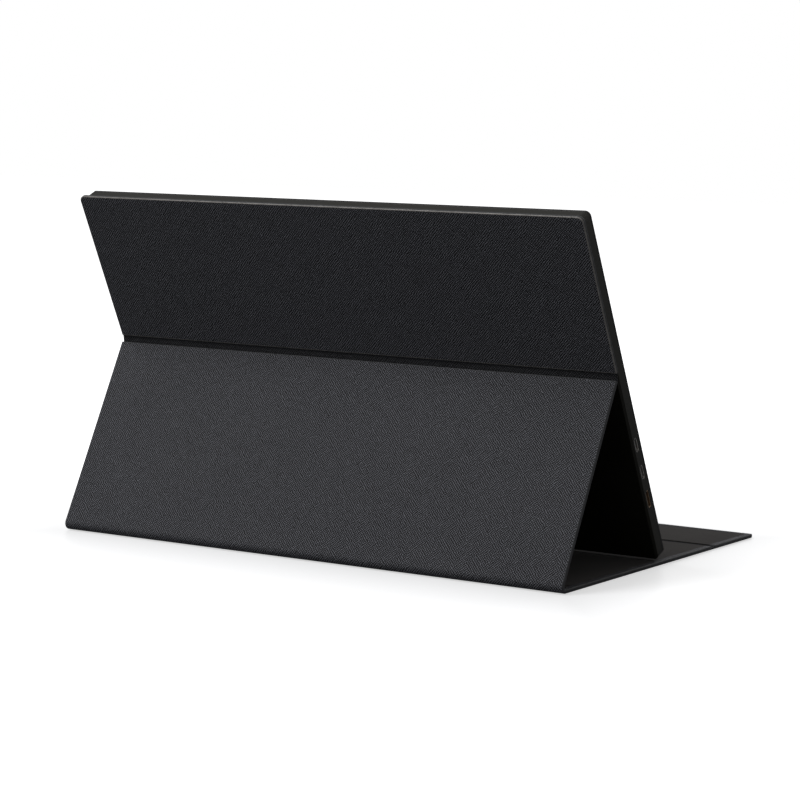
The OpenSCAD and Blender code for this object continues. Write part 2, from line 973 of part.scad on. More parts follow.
module headphone_socket() {
  color("#17181a")
    on_monitor()
      translate([half_w - socket_sunk, jack_y, jack_z])
        rotate([90, 0, -90])
          difference() {
            union() {
              cylinder(r = jack_r, h = side_wall + 1);
              translate([-jack_block_w / 2, -jack_r, side_wall])
                cube([jack_block_w, 2 * jack_r, jack_block_l - side_wall]);
              translate([-jack_block_w / 2, pcb_top - jack_z, button_board_inset])
                cube([jack_block_w, jack_z - pcb_top, 4]);
            }
            translate([0, 0, -overcut])
              cylinder(r = jack_bore_r, h = jack_bore_l + overcut);
          }
}

module button_board() {
  notch = jack_block_w + 2 * fit_gap;
  color(board_green)
    on_monitor()
      difference() {
        pcb_plate(button_board_x, button_board_y, button_board_w, button_board_h);
        for (p = button_screws)
          translate([button_board_x + p[0], button_board_y + p[1], 0])
            cylinder(d = screw_d + 2 * fit_gap, h = body_t);
        translate([half_w - socket_sunk - jack_block_l - fit_gap, jack_y - notch / 2, 0])
          cube([jack_block_l + overcut, notch, body_t]);
      }
}

// Push switches on the board behind the power button and both ends of the rocker
module button_switches() {
  color("#c8ccd0")
    on_monitor()
      for (y = switch_ys)
        translate([switch_face - switch_depth, y - 1.5, pcb_top])
          cube([switch_depth, 3, button_z + 1 - pcb_top]);
}

// Flat ribbon on the back wall, from one board to the other under the speakers
module button_ribbon() {
  start = main_x + main_w - ribbon_tuck;
  color("#d9d6cc")
    on_monitor()
      translate([start, main_y + main_h / 2, back_wall])
        cube([button_board_x + ribbon_tuck / 2 - start, ribbon_w, 0.2]);
}

module screw(length) {
  cylinder(d = screw_head_d, h = 0.6);
  translate([0, 0, -length])
    cylinder(d = screw_d, h = length);
}

module board_screws() {
  color(steel_grey)
    on_monitor()
      screw_places()
        translate([0, 0, pcb_top])
          screw(pcb_top - back_wall + 0.4);
}

// Buttons on the right side, pressed towards the middle

module power_button() {
  color(body_black)
    on_monitor()
      translate([0, power_y, button_z])
        rotate([90, 0, 90]) {
          translate([0, 0, cavity_w / 2 - fit_gap - flange_t])
            linear_extrude(side_wall + button_proud + fit_gap + flange_t)
              rotate(90)
                slot_2d(power_l, button_w);
          translate([0, 0, cavity_w / 2 - fit_gap - flange_t])
            linear_extrude(flange_t)
              rotate(90)
                slot_2d(power_l + 1.4, button_w + 1.4);
        }
}

module menu_rocker() {
  color(body_black)
    on_monitor()
      translate([0, rocker_y, button_z])
        rotate([90, 0, 90]) {
          translate([0, 0, cavity_w / 2 - 0.2])
            linear_extrude(side_wall + button_proud + 0.2)
              rotate(90)
                slot_2d(rocker_l, button_w);
          translate([-1, -button_w / 2, cavity_w / 2 - 1.4])
            cube([2, button_w, 1.4]);
        }
}

module speaker(x) {
  on_monitor()
    translate([x, speaker_y - speaker_w / 2, back_wall]) {
      difference() {
        centred_box(speaker_l, speaker_w, speaker_t);
        translate([0, 2, -overcut])
          centred_box(speaker_l - 4, speaker_w - 4, overcut + 0.8);
      }
      translate([0, 3, 0.5])
        centred_box(speaker_l - 8, speaker_w - 6, 0.5);
    }
}

module speaker_left() {
  color("#303236")
    speaker(-speaker_x);
}

module speaker_right() {
  color("#303236")
    speaker(speaker_x);
}

module body_magnets() {
  color(steel_grey)
    on_monitor()
      magnet_row(magnet_xs, magnet_y, back_wall, magnet_t, 0);
}

base_skin();
base_lining();
spine_board();
rear_floor_board();
middle_floor_board();
foot_bend();
leg_skin();
leg_board();
leg_lining();
middle_crease();
upper_skin();
upper_board();
upper_lining();
holding_magnets();
front_crease();
flap_skin();
flap_board();
flap_lining();
closing_magnets();
rear_casing();
front_bezel();
lcd_cell();
panel_frame();
diffuser_sheets();
light_guide();
reflector_sheet();
led_bar();
backlight_tray();
driver_board();
display_ribbon();
main_board();
board_chips();
usb_c_socket_upper();
usb_c_socket_lower();
mini_picture_socket();
headphone_socket();
button_board();
button_switches();
button_ribbon();
power_button();
menu_rocker();
speaker_left();
speaker_right();
body_magnets();
board_screws();
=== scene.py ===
import json
import math

import bmesh
import bpy
from mathutils import Matrix, Vector


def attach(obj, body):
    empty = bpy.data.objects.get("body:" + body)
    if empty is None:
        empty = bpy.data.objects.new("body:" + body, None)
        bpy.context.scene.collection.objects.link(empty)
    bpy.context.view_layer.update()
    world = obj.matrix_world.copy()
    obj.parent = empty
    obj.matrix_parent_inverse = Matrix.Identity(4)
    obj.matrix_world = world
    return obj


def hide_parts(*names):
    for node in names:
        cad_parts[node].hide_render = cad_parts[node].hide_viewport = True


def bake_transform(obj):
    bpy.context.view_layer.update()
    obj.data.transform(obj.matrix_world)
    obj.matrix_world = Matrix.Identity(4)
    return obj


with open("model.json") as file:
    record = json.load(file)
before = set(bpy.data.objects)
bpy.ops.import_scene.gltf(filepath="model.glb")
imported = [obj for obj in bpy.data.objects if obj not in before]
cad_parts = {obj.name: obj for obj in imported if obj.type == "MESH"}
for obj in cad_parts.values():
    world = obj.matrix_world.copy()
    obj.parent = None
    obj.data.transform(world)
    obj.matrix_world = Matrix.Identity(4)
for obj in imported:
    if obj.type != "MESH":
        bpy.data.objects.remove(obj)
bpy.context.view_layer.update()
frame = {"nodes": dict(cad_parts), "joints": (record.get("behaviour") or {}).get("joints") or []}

# Leg panel of the cover.
# A 1 mm board wrapped in embossed polyurethane leather, whose edges are turned in round the
# lining and glued. It is one sheet with the foot bend, and ends at the middle crease.

cover_width = 0.360
panel_thickness = 0.0024
lining_thickness = 0.0006
border = 0.0036
soft_edge = 0.0006
crease_gap = 0.005
pinch_depth = 0.00014
rise = math.radians(90 - 24.6)
leg_turn = math.radians(90 + 27.3)


def joint_place(name):
    return Vector(next(j["pos_m"] for j in frame["joints"] if j["name"] == name))


def is_upright(edge):
    along = (edge.verts[0].co - edge.verts[1].co).normalized()
    return abs(along.z) > 0.99


def slab(width, length, low, high):
    """Block from y = 0 to y = length and from z = low to z = high."""
    bm = bmesh.new()
    bmesh.ops.create_cube(bm, size=1)
    bmesh.ops.scale(bm, vec=(width, length, high - low), verts=bm.verts)
    bmesh.ops.translate(bm, vec=(0, length / 2, (low + high) / 2), verts=bm.verts)
    return bm


def cut(bm, point, normal):
    everything = bm.verts[:] + bm.edges[:] + bm.faces[:]
    bmesh.ops.bisect_plane(bm, geom=everything, dist=1e-7, plane_co=point, plane_no=normal)


def bevel(bm, edges, width, segments):
    return bmesh.ops.bevel(bm, geom=edges, offset=width, segments=segments, profile=0.5,
                           affect="EDGES", clamp_overlap=True, material=-1)["faces"]


def wrapped_board(length, soft_start=False, soft_end=False, corner_radius=0, pinches=()):
    """Leather round a board: a slab, a border turned in on its inner face and rubbed edges.

    The mesh has three finishes: leather, outer rim, and sides with the inner rim.
    """
    round_end = corner_radius > 0
    bm = slab(cover_width, length, 0, panel_thickness - lining_thickness)
    if round_end:
        corners = [e for e in bm.edges if is_upright(e) and e.verts[0].co.y > length / 2]
        bevel(bm, corners, corner_radius, 8)
    inner_x = cover_width / 2 - border
    cut(bm, (inner_x, 0, 0), (1, 0, 0))
    cut(bm, (-inner_x, 0, 0), (1, 0, 0))
    inner_y = length - border if round_end else length
    if round_end:
        cut(bm, (0, inner_y, 0), (0, 1, 0))
    # The leather is drawn in at the grooves, over 0.8 mm to each side
    for s in pinches:
        for step in (-0.0008, 0, 0.0008):
            cut(bm, (0, s + step, 0), (0, 1, 0))
    turned_in = [f for f in bm.faces if f.normal.z > 0.9 and (
        abs(f.calc_center_median().x) > inner_x or f.calc_center_median().y > inner_y)]
    raised = bmesh.ops.extrude_face_region(bm, geom=turned_in)["geom"]
    bmesh.ops.delete(bm, geom=turned_in, context="FACES_ONLY")
    bmesh.ops.translate(bm, vec=(0, 0, lining_thickness),
                        verts=[v for v in raised if isinstance(v, bmesh.types.BMVert)])
    bm.normal_update()
    middle = Vector((0, length / 2, 0))
    rims = []
    for e in bm.edges:
        if len(e.link_faces) != 2 or is_upright(e):
            continue
        walls = [f for f in e.link_faces if abs(f.normal.z) < 0.5]
        if len(walls) != 1:
            continue
        wall = walls[0]
        centre = wall.calc_center_median()
        outward = wall.normal.dot(centre - middle) > 0
        level = (e.verts[0].co.z + e.verts[1].co.z) / 2
        at_face = level < 1e-5 or level > panel_thickness - 1e-5
        ends_open = (centre.y < 1e-5 and not soft_start) or (
            centre.y > length - 1e-5 and not soft_end and not round_end)
        if outward and at_face and not ends_open:
            rims.append(e)
    # Outer rim faces take slot 1; on the upper panel that slot is lighter leather, a painted
    # highlight
    for face in bevel(bm, rims, soft_edge, 3):
        face.material_index = 1 if face.calc_center_median().z < panel_thickness / 2 else 2
    bm.normal_update()
    for face in bm.faces:
        if abs(face.normal.z) < 0.1:
            face.material_index = 2
    for s in pinches:
        for v in bm.verts:
            if abs(v.co.y - s) < 1e-5 and abs(v.co.x) > inner_x + 0.002:
                v.co.x -= math.copysign(pinch_depth, v.co.x)
    bmesh.ops.recalc_face_normals(bm, faces=bm.faces)
    return bm


def along_cover(bm, start, direction=1):
    """Map in metres that unrolls the cover: u across it, v along it from the foot bend."""
    uv = bm.loops.layers.uv.new("along")
    for face in bm.faces:
        for loop in face.loops:
            loop[uv].uv = (loop.vert.co.x, start + direction * loop.vert.co.y)


def finished(bm, name, place, *finishes, smooth=30):
    """Object from a mesh that is turned to its place, with its own shading."""
    bmesh.ops.transform(bm, matrix=place, verts=bm.verts)
    mesh = bpy.data.meshes.new(name)
    bm.to_mesh(mesh)
    bm.free()
    piece = bpy.data.objects.new(name, mesh)
    bpy.context.scene.collection.objects.link(piece)
    for finish in finishes:
        mesh.materials.append(finish)
    mesh.shade_smooth()
    mesh.set_sharp_from_angle(angle=math.radians(smooth))
    weighted = piece.modifiers.new("Flat faces stay flat", "WEIGHTED_NORMAL")
    weighted.keep_sharp = True
    return piece


def add(tree, kind, inputs=None, **settings):
    """Adds a node with its settings, and sets or links its inputs."""
    made = tree.nodes.new(kind)
    for name, value in settings.items():
        setattr(made, name, value)
    for name, value in (inputs or {}).items():
        if isinstance(value, bpy.types.NodeSocket):
            tree.links.new(value, made.inputs[name])
        else:
            made.inputs[name].default_value = value
    return made


def linear(colour):
    parts = [int(colour[i:i + 2], 16) / 255 for i in (1, 3, 5)]
    return (*[c / 12.92 if c <= 0.04045 else ((c + 0.055) / 1.055) ** 2.4 for c in parts], 1)


def new_finish(name):
    finish = bpy.data.materials.new(name)
    finish.use_nodes = True
    tree = finish.node_tree
    tree.nodes.clear()
    shader = add(tree, "ShaderNodeBsdfPrincipled")
    add(tree, "ShaderNodeOutputMaterial", {"Surface": shader.outputs[0]})
    return finish, tree, shader


def set_to(shader, **values):
    for name, value in values.items():
        shader.inputs[name.replace("_", " ")].default_value = value


def two_tones(tree, factor, dark, light):
    tones = add(tree, "ShaderNodeMix", {0: factor, 6: linear(dark), 7: linear(light)},
                data_type="RGBA")
    return tones.outputs[2]


def spread(tree, value, low, high, to_low=0.0, to_high=1.0):
    return add(tree, "ShaderNodeMapRange", {0: value, 1: low, 2: high, 3: to_low, 4: to_high}
               ).outputs[0]


def embossed_leather(name, dark, light, gloss):
    """Polyurethane leather rolled with a crosshatch: painted lighter on the raised lines as
    highlight, darker between them as shade.
    """
    finish, tree, shader = new_finish(name)
    flat = add(tree, "ShaderNodeUVMap", uv_map="along").outputs[0]
    # Lines at 45 degrees, about 1 mm apart, drawn 1.2 mm so that they show. A wave of scale 1
    # repeats each 0.314 m
    per_line = 0.3142 / 0.0012
    waves = []
    for turn in (45, -45):
        turned = add(tree, "ShaderNodeMapping", {"Vector": flat,
                     "Rotation": (0, 0, math.radians(turn))}).outputs[0]
        waves.append(add(tree, "ShaderNodeTexWave", {"Vector": turned, "Scale": per_line,
                         "Distortion": 4.0, "Detail": 2.0, "Detail Scale": 1.6}).outputs[1])
    # Patches about 9 mm wide where one direction is pressed deeper
    patches = add(tree, "ShaderNodeTexNoise", {"Vector": flat, "Scale": 110.0,
                  "Detail": 1.0}).outputs[0]
    share = spread(tree, patches, 0.4, 0.6, 0.2, 0.8)
    lines = add(tree, "ShaderNodeMix", {0: share, 2: waves[0], 3: waves[1]}).outputs[0]
    # Where two raised lines cross, the top stands higher and is painted brighter, as a highlight
    crossings = add(tree, "ShaderNodeMath", {0: waves[0], 1: waves[1]},
                    operation="MULTIPLY").outputs[0]
    raised = add(tree, "ShaderNodeMath", {0: crossings, 1: 0.6, 2: lines},
                 operation="MULTIPLY_ADD").outputs[0]
    # Fine grain about 0.35 mm across, between the lines
    grain = add(tree, "ShaderNodeTexVoronoi", {"Vector": flat, "Scale": 2800.0}).outputs[0]
    height = add(tree, "ShaderNodeMath", {0: grain, 1: 0.35, 2: raised},
                 operation="MULTIPLY_ADD").outputs[0]
    # Colour follows the relief: painted shade between the lines, painted highlight on their tops
    colour = two_tones(tree, spread(tree, raised, 0.35, 1.4), dark, light)
    tree.links.new(colour, shader.inputs["Base Color"])
    # Handling leaves slightly smoother areas, 60 mm and more across
    handled = add(tree, "ShaderNodeTexNoise", {"Vector": flat, "Scale": 16.0,
                  "Detail": 3.0}).outputs[0]
    tree.links.new(spread(tree, handled, 0.3, 0.7, 0.58, 0.66), shader.inputs["Roughness"])
    relief = add(tree, "ShaderNodeBump", {"Height": height, "Strength": 1.0,
                 "Distance": 0.00018}).outputs[0]
    tree.links.new(relief, shader.inputs["Normal"])
    set_to(shader, IOR=1.5, Specular_IOR_Level=gloss)
    return finish


def rubbed_leather(name, dark, light, roughness):
    """The same leather where it goes round a board's edge: stretched smooth and rubbed."""
    finish, tree, shader = new_finish(name)
    flat = add(tree, "ShaderNodeUVMap", uv_map="along").outputs[0]
    # Worn and less worn stretches about 5 mm long
    worn = add(tree, "ShaderNodeTexNoise", {"Vector": flat, "Scale": 200.0,
               "Detail": 3.0}).outputs[0]
    tree.links.new(two_tones(tree, spread(tree, worn, 0.3, 0.7), dark, light),
                   shader.inputs["Base Color"])
    set_to(shader, Roughness=roughness, IOR=1.5)
    return finish


# The embossing's colours run from painted shade in the hollows to painted highlight on the raised
# lines
leather = embossed_leather("Embossed polyurethane leather", "#060607", "#82838a", 0.25)
# Leather painted darker for the middle and front creases: painted shade in the folds
crease_shade_leather = embossed_leather("Polyurethane leather darkened as crease shade", "#08080a", "#4c4d51", 0.2)
rubbed_edge = rubbed_leather("Rubbed leather edge", "#2a2b2d", "#3e3f42", 0.6)
# Lighter edge for the upper panel: part wear, part a painted highlight where the edge catches light
worn_edge_and_highlight = rubbed_leather("Worn leather edge with painted highlight", "#7c7975", "#9c9894", 0.4)
foot = joint_place("leg_fold")
bend_radius = foot.z
leg_start = foot + bend_radius * Vector((0, math.sin(leg_turn), -math.cos(leg_turn)))
leg_place = Matrix.Translation(leg_start) @ Matrix.Rotation(leg_turn, 4, "X")
leg_length = 0.1241
bend_length = bend_radius * leg_turn
# The leather ends 0.3 mm short of the crease, so that its rim stands free
leg_end = leg_length - crease_gap / 2 - 0.0003
leg_mesh = wrapped_board(leg_end, soft_end=True)
along_cover(leg_mesh, bend_length)
leg_leather = finished(leg_mesh, "leg_leather", leg_place, leather, rubbed_edge,
                       rubbed_edge)
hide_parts("leg_skin")
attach(leg_leather, "leg")

# Upper panel of the cover.
# The same wrapped board with two round corners, held on the monitor's back by magnets.

upper_length = 0.101
crease = joint_place("screen_tilt")
upper_place = (Matrix.Translation(crease) @ Matrix.Rotation(rise, 4, "X")
               @ Matrix.Translation((0, 0, -panel_thickness / 2)))
upper_start = Matrix.Translation((0, crease_gap / 2, 0))
upper_mesh = wrapped_board(upper_length - crease_gap / 2, soft_start=True,
                           corner_radius=0.0038)
along_cover(upper_mesh, bend_length + leg_length + crease_gap / 2)
# Its outer rim is lighter worn leather, partly a painted highlight along the top and side edges
upper_leather = finished(upper_mesh, "upper_leather", upper_place @ upper_start, leather,
                         worn_edge_and_highlight, rubbed_edge)
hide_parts("upper_skin")
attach(upper_leather, "display")

# Floor panels of the cover: spine strip, rear and middle panel.
# One wrapped sheet with three boards. The leather is drawn in at the two grooves between them.

first_groove = 0.1076
second_groove = 0.1741
spine_length = 0.011
floor_place = Matrix.Translation((0, foot.y, 0)) @ Matrix.Rotation(math.pi, 4, "Z")
base_length = second_groove - crease_gap / 2
base_mesh = wrapped_board(base_length, soft_end=True, pinches=(spine_length, first_groove))
along_cover(base_mesh, 0, -1)
base_leather = finished(base_mesh, "base_leather", floor_place, leather, rubbed_edge,
                        rubbed_edge)
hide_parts("base_skin")
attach(base_leather, "base")

# Front flap of the cover.
# A wrapped board with nearly square corners and two magnets that hold the closed cover.

flap_length = 0.0527
flap_start = second_groove + crease_gap / 2
flap_place = floor_place @ Matrix.Translation((0, flap_start, 0))
flap_mesh = wrapped_board(flap_length - crease_gap / 2, soft_start=True,
                          corner_radius=0.0014)
along_cover(flap_mesh, -flap_start, -1)
flap_leather = finished(flap_mesh, "flap_leather", flap_place, leather, rubbed_edge,
                        rubbed_edge)
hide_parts("flap_skin")
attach(flap_leather, "flap")

# Linings of the cover.
# Brushed microfibre sheets, glued inside the turned-in border and pressed in at the grooves.


def brushed_lining():
    """Microfibre, brushed along the width: short fine strokes of slightly different grey."""
    finish, tree, shader = new_finish("Brushed microfibre lining")
    place = add(tree, "ShaderNodeTexCoord").outputs["Object"]
    # Strokes 6 mm long and 0.35 mm wide
    stretched = add(tree, "ShaderNodeMapping", {"Vector": place,
                    "Scale": (160.0, 2800.0, 2800.0)}).outputs[0]
    strokes = add(tree, "ShaderNodeTexNoise", {"Vector": stretched, "Scale": 1.0,
                  "Detail": 4.0}).outputs[0]
    clouds = add(tree, "ShaderNodeTexNoise", {"Vector": place, "Scale": 28.0,
                 "Detail": 3.0}).outputs[0]
    tone = add(tree, "ShaderNodeMath", {0: clouds, 1: 0.5, 2: strokes},
               operation="MULTIPLY_ADD").outputs[0]
    colour = two_tones(tree, spread(tree, tone, 0.5, 1.0), "#2e2b2a", "#3d3a38")
    tree.links.new(colour, shader.inputs["Base Color"])
    relief = add(tree, "ShaderNodeBump", {"Height": strokes, "Strength": 0.3,
                 "Distance": 0.00008}).outputs[0]
    tree.links.new(relief, shader.inputs["Normal"])
    set_to(shader, Roughness=0.9, Sheen_Weight=0.08, Sheen_Roughness=0.5, IOR=1.45,
           Specular_IOR_Level=0.2)
    return finish


lining = brushed_lining()
glue_gap = 0.00012
groove_reach = 0.0012
groove_depth = 0.00035


def lining_sheet(length, free_end, grooves=()):
    """Sheet in its recess, with rolled edges and softly pressed grooves."""
    end = length - border - glue_gap if free_end else length
    low = panel_thickness - lining_thickness + 0.00002
    high = panel_thickness - 0.00008
    bm = slab(cover_width - 2 * (border + glue_gap), end, low, high)
    sides = [e for e in bm.edges if all(v.co.z > high - 1e-6 for v in e.verts)
             and (abs(e.verts[0].co.x - e.verts[1].co.x) < 1e-6
                  or (free_end and e.verts[0].co.y > end - 1e-6))]
    bevel(bm, sides, 0.0002, 2)
    for s in grooves:
        for i in range(-6, 7):
            cut(bm, (0, s + i * 0.0002, 0), (0, 1, 0))
    for s in grooves:
        for v in bm.verts:
            away = abs(v.co.y - s)
            if v.co.z > low + 1e-5 and away < groove_reach:
                v.co.z -= groove_depth * math.cos(math.pi / 2 * away / groove_reach) ** 2
    return bm


linings = [
    ("base", base_length, False, floor_place, (spine_length, first_groove)),
    ("leg", leg_length - crease_gap / 2, False, leg_place, ()),
    ("display", upper_length - crease_gap / 2, True, upper_place @ upper_start, ()),
    ("flap", flap_length - crease_gap / 2, True, flap_place, ()),
]
for body, length, free_end, place, grooves in linings:
    panel = "upper" if body == "display" else body
    sheet = finished(lining_sheet(length, free_end, grooves), panel + "_microfibre", place, lining)
    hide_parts(panel + "_lining")
    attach(sheet, body)

# Foot bend.
# The leather runs on round the foot without a board, from the floor up into the leg. Its
# section is taken from a short slab with soft edges and turned about the foot.

slab_length = 0.001
strip = slab(cover_width, slab_length, 0, panel_thickness)
rims = [e for e in strip.edges if abs(e.verts[0].co.y - e.verts[1].co.y) > 1e-6]
bevel(strip, rims, soft_edge, 3)
section = [f for f in strip.faces if f.normal.y > 0.9]
bmesh.ops.delete(strip, geom=[f for f in strip.faces if f not in section], context="FACES")
bmesh.ops.translate(strip, vec=(0, foot.y - slab_length, 0), verts=strip.verts)
bmesh.ops.delete(strip, geom=strip.faces[:], context="FACES_ONLY")
bmesh.ops.spin(strip, geom=strip.verts[:] + strip.edges[:], cent=foot, axis=(1, 0, 0),
               angle=leg_turn, steps=20, use_merge=False)
bmesh.ops.holes_fill(strip, edges=[e for e in strip.edges if e.is_boundary], sides=0)
bmesh.ops.recalc_face_normals(strip, faces=strip.faces)
uv = strip.loops.layers.uv.new("along")
for face in strip.faces:
    for loop in face.loops:
        away = loop.vert.co - foot
        loop[uv].uv = (away.x, bend_radius * math.atan2(away.y, -away.z))
foot_fold = finished(strip, "foot_fold", Matrix(), leather, lining, rubbed_edge, smooth=50)
for face in foot_fold.data.polygons:
    inner = (Vector(face.center) - foot).yz.length < bend_radius - panel_thickness / 2
    if inner and abs(face.center.x) < cover_width / 2 - border:
        face.material_index = 1
    elif abs(face.center.x) > cover_width / 2 - soft_edge:
        face.material_index = 2
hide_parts("foot_bend")
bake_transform(foot_fold)

# Middle crease.
# Bare leather between two boards, thinner than the panels. It starts 0.6 mm behind the leg's
# outer face and curves up to the upper panel. Its leather is painted dark, as shade in the crease.

fold_width = cover_width - 0.0004


def fold_strip(thickness, rows):
    """Flat strip of bare leather, with enough rows to bend, and soft sides."""
    bm = slab(fold_width, 1.0, 0, thickness)
    sides = [e for e in bm.edges if abs(e.verts[0].co.y - e.verts[1].co.y) > 1e-6]
    bevel(bm, sides, 0.0004, 2)
    for i in range(1, rows):
        cut(bm, (0, i / rows, 0), (0, 1, 0))
    uv = bm.loops.layers.uv.new("along")
    for face in bm.faces:
        for loop in face.loops:
            loop[uv].uv = (loop.vert.co.x, crease_gap * loop.vert.co.y)
    return bm


along_leg = Vector((0, math.cos(leg_turn), math.sin(leg_turn)))
along_upper = Vector((0, math.cos(rise), math.sin(rise)))
out_of_leg = Vector((0, along_leg.z, -along_leg.y))
out_of_upper = Vector((0, along_upper.z, -along_upper.y))
below_crease = 0.0028
step_in = 0.0006
fold_start = crease - below_crease * along_leg - step_in * out_of_leg
fold_end = crease + crease_gap / 2 * along_upper + step_in * out_of_upper
strip = fold_strip(0.0007, 14)
for v in strip.verts:
    t = v.co.y
    # Cubic curve whose upper end runs on in the upper panel's direction, for about 1.4 mm
    turns = (fold_start, fold_start.lerp(fold_end, 0.35), fold_end - 0.0014 * along_upper, fold_end)
    point = ((1 - t) ** 3 * turns[0] + 3 * (1 - t) ** 2 * t * turns[1]
             + 3 * (1 - t) * t * t * turns[2] + t ** 3 * turns[3])
    ahead = ((1 - t) ** 2 * (turns[1] - turns[0]) + 2 * (1 - t) * t * (turns[2] - turns[1])
             + t * t * (turns[3] - turns[2])).normalized()
    point += v.co.z * Vector((0, -ahead.z, ahead.y))
    v.co.y, v.co.z = point.y, point.z
bmesh.ops.recalc_face_normals(strip, faces=strip.faces)
middle_fold = finished(strip, "middle_fold", Matrix(), crease_shade_leather, smooth=50)
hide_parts("middle_crease")
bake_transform(middle_fold)

# Front crease.
# Bare leather between the floor panels and the flap, sunk 0.8 mm below their linings.

fold_thickness = 0.0016
middle_dip = 0.0003
strip = fold_strip(fold_thickness, 12)
groove_y = foot.y - second_groove
for v in strip.verts:
    if v.co.z > fold_thickness / 2:
        v.co.z -= middle_dip * math.sin(math.pi * v.co.y)
    v.co.y = groove_y + crease_gap * (v.co.y - 0.5)
bmesh.ops.recalc_face_normals(strip, faces=strip.faces)
# The darkened leather is painted shade in the groove
front_fold = finished(strip, "front_fold", Matrix(), crease_shade_leather, smooth=50)
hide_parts("front_crease")
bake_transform(front_fold)

# Stiffening boards of the cover.
# Grey cardboard, cut to size and glued inside the leather: pressed fibres, matt.


def grey_board():
    """Pressed waste paper: short pale and dark fibres, no gloss."""
    finish, tree, shader = new_finish("Grey bookbinding board")
    place = add(tree, "ShaderNodeTexCoord").outputs["Object"]
    # Fibres about 1.5 mm long
    fibres = add(tree, "ShaderNodeTexNoise", {"Vector": place, "Scale": 650.0, "Detail": 5.0,
                 "Distortion": 1.5}).outputs[0]
    colour = two_tones(tree, spread(tree, fibres, 0.3, 0.7), "#7c7468", "#9c9488")
    tree.links.new(colour, shader.inputs["Base Color"])
    relief = add(tree, "ShaderNodeBump", {"Height": fibres, "Strength": 0.3,
                 "Distance": 0.0001}).outputs[0]
    tree.links.new(relief, shader.inputs["Normal"])
    set_to(shader, Roughness=0.9)
    return finish


def dress(finish, *nodes):
    for node in nodes:
        mesh = frame["nodes"][node].data
        mesh.materials.clear()
        mesh.materials.append(finish)


dress(grey_board(), "spine_board", "rear_floor_board", "middle_floor_board", "leg_board",
      "upper_board", "flap_board")

# Magnets, in the cover and in the monitor.
# Flat sintered blocks with a bright nickel plating, glued into their places.


def plated_nickel():
    """Nickel plating on a pressed block: bright, a little uneven, faintly warm."""
    finish, tree, shader = new_finish("Nickel plating")
    place = add(tree, "ShaderNodeTexCoord").outputs["Object"]
    # Plating unevenness about 0.8 mm across
    uneven = add(tree, "ShaderNodeTexNoise", {"Vector": place, "Scale": 1200.0,
                 "Detail": 3.0}).outputs[0]
    colour = two_tones(tree, uneven, "#b5b2ab", "#c9c6bf")
    tree.links.new(colour, shader.inputs["Base Color"])
    tree.links.new(spread(tree, uneven, 0.2, 0.8, 0.2, 0.34), shader.inputs["Roughness"])
    set_to(shader, Metallic=1.0)
    return finish


dress(plated_nickel(), "holding_magnets", "closing_magnets", "body_magnets")

# Rear casing of the monitor.
# One moulded shell with a chamfered rear edge, windows for sockets and keys, and two grilles.


def moulded_plastic(name, dark, light, roughness):
    """ABS from a spark-eroded mould: matt, with a fine even grain and little colour change."""
    finish, tree, shader = new_finish(name)
    place = add(tree, "ShaderNodeTexCoord").outputs["Object"]
    # Spark grain 0.15 mm across in the mould, drawn 0.3 mm so that it shows
    grain = add(tree, "ShaderNodeTexNoise", {"Vector": place, "Scale": 3300.0,
                "Detail": 2.0}).outputs[0]
    flow = add(tree, "ShaderNodeTexNoise", {"Vector": place, "Scale": 22.0,
               "Detail": 2.0}).outputs[0]
    tone = add(tree, "ShaderNodeMath", {0: grain, 1: 0.4, 2: flow},
               operation="MULTIPLY_ADD").outputs[0]
    tree.links.new(two_tones(tree, spread(tree, tone, 0.4, 1.0), dark, light),
                   shader.inputs["Base Color"])
    tree.links.new(spread(tree, flow, 0.3, 0.7, roughness - 0.04, roughness + 0.04),
                   shader.inputs["Roughness"])
    relief = add(tree, "ShaderNodeBump", {"Height": grain, "Strength": 0.25,
                 "Distance": 0.00005}).outputs[0]
    tree.links.new(relief, shader.inputs["Normal"])
    set_to(shader, IOR=1.53, Specular_IOR_Level=0.25)
    return finish


def softened(node, name, width, segments, finish):
    """Copy of a CAD node, merged to one skin, whose sharp edges are rounded as moulded."""
    bm = bmesh.new()
    bm.from_mesh(frame["nodes"][node].data)
    bmesh.ops.remove_doubles(bm, verts=bm.verts, dist=2e-6)
    bmesh.ops.dissolve_limit(bm, angle_limit=math.radians(0.5), verts=bm.verts, edges=bm.edges)
    sharp = [e for e in bm.edges if len(e.link_faces) == 2
             and e.calc_face_angle() > math.radians(25)]
    bevel(bm, sharp, width, segments)
    piece = finished(bm, name, Matrix(), finish)
    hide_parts(node)
    return piece


casing_plastic = moulded_plastic("Moulded ABS, casing", "#171611", "#201f18", 0.45)
rear_shell = softened("rear_casing", "rear_shell", 0.00025, 2, casing_plastic)
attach(rear_shell, "display")

# Front bezel.
# A second moulding that snaps into the casing with its skirt. Its lip holds the screen.

bezel_plastic = moulded_plastic("Moulded ABS, bezel", "#141414", "#1b1a1a", 0.35)
bezel_frame = softened("front_bezel", "bezel_frame", 0.0003, 3, bezel_plastic)
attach(bezel_frame, "display")

# Screen.
# Liquid crystal cell under an anti-glare film: nearly black, with a soft blurred gloss.


def screen_film():
    """Anti-glare film on glass: very dark blue-grey, etched finely so that lights blur."""
    finish, tree, shader = new_finish("Anti-glare film on glass")
    place = add(tree, "ShaderNodeTexCoord").outputs["Object"]
    # Etching about 0.1 mm across, drawn 0.2 mm
    etching = add(tree, "ShaderNodeTexNoise", {"Vector": place, "Scale": 5000.0,
                  "Detail": 1.0}).outputs[0]
    tree.links.new(two_tones(tree, etching, "#0b0c0e", "#0f1013"), shader.inputs["Base Color"])
    relief = add(tree, "ShaderNodeBump", {"Height": etching, "Strength": 0.08,
                 "Distance": 0.00002}).outputs[0]
    tree.links.new(relief, shader.inputs["Normal"])
    set_to(shader, Roughness=0.22, IOR=1.5)
    return finish


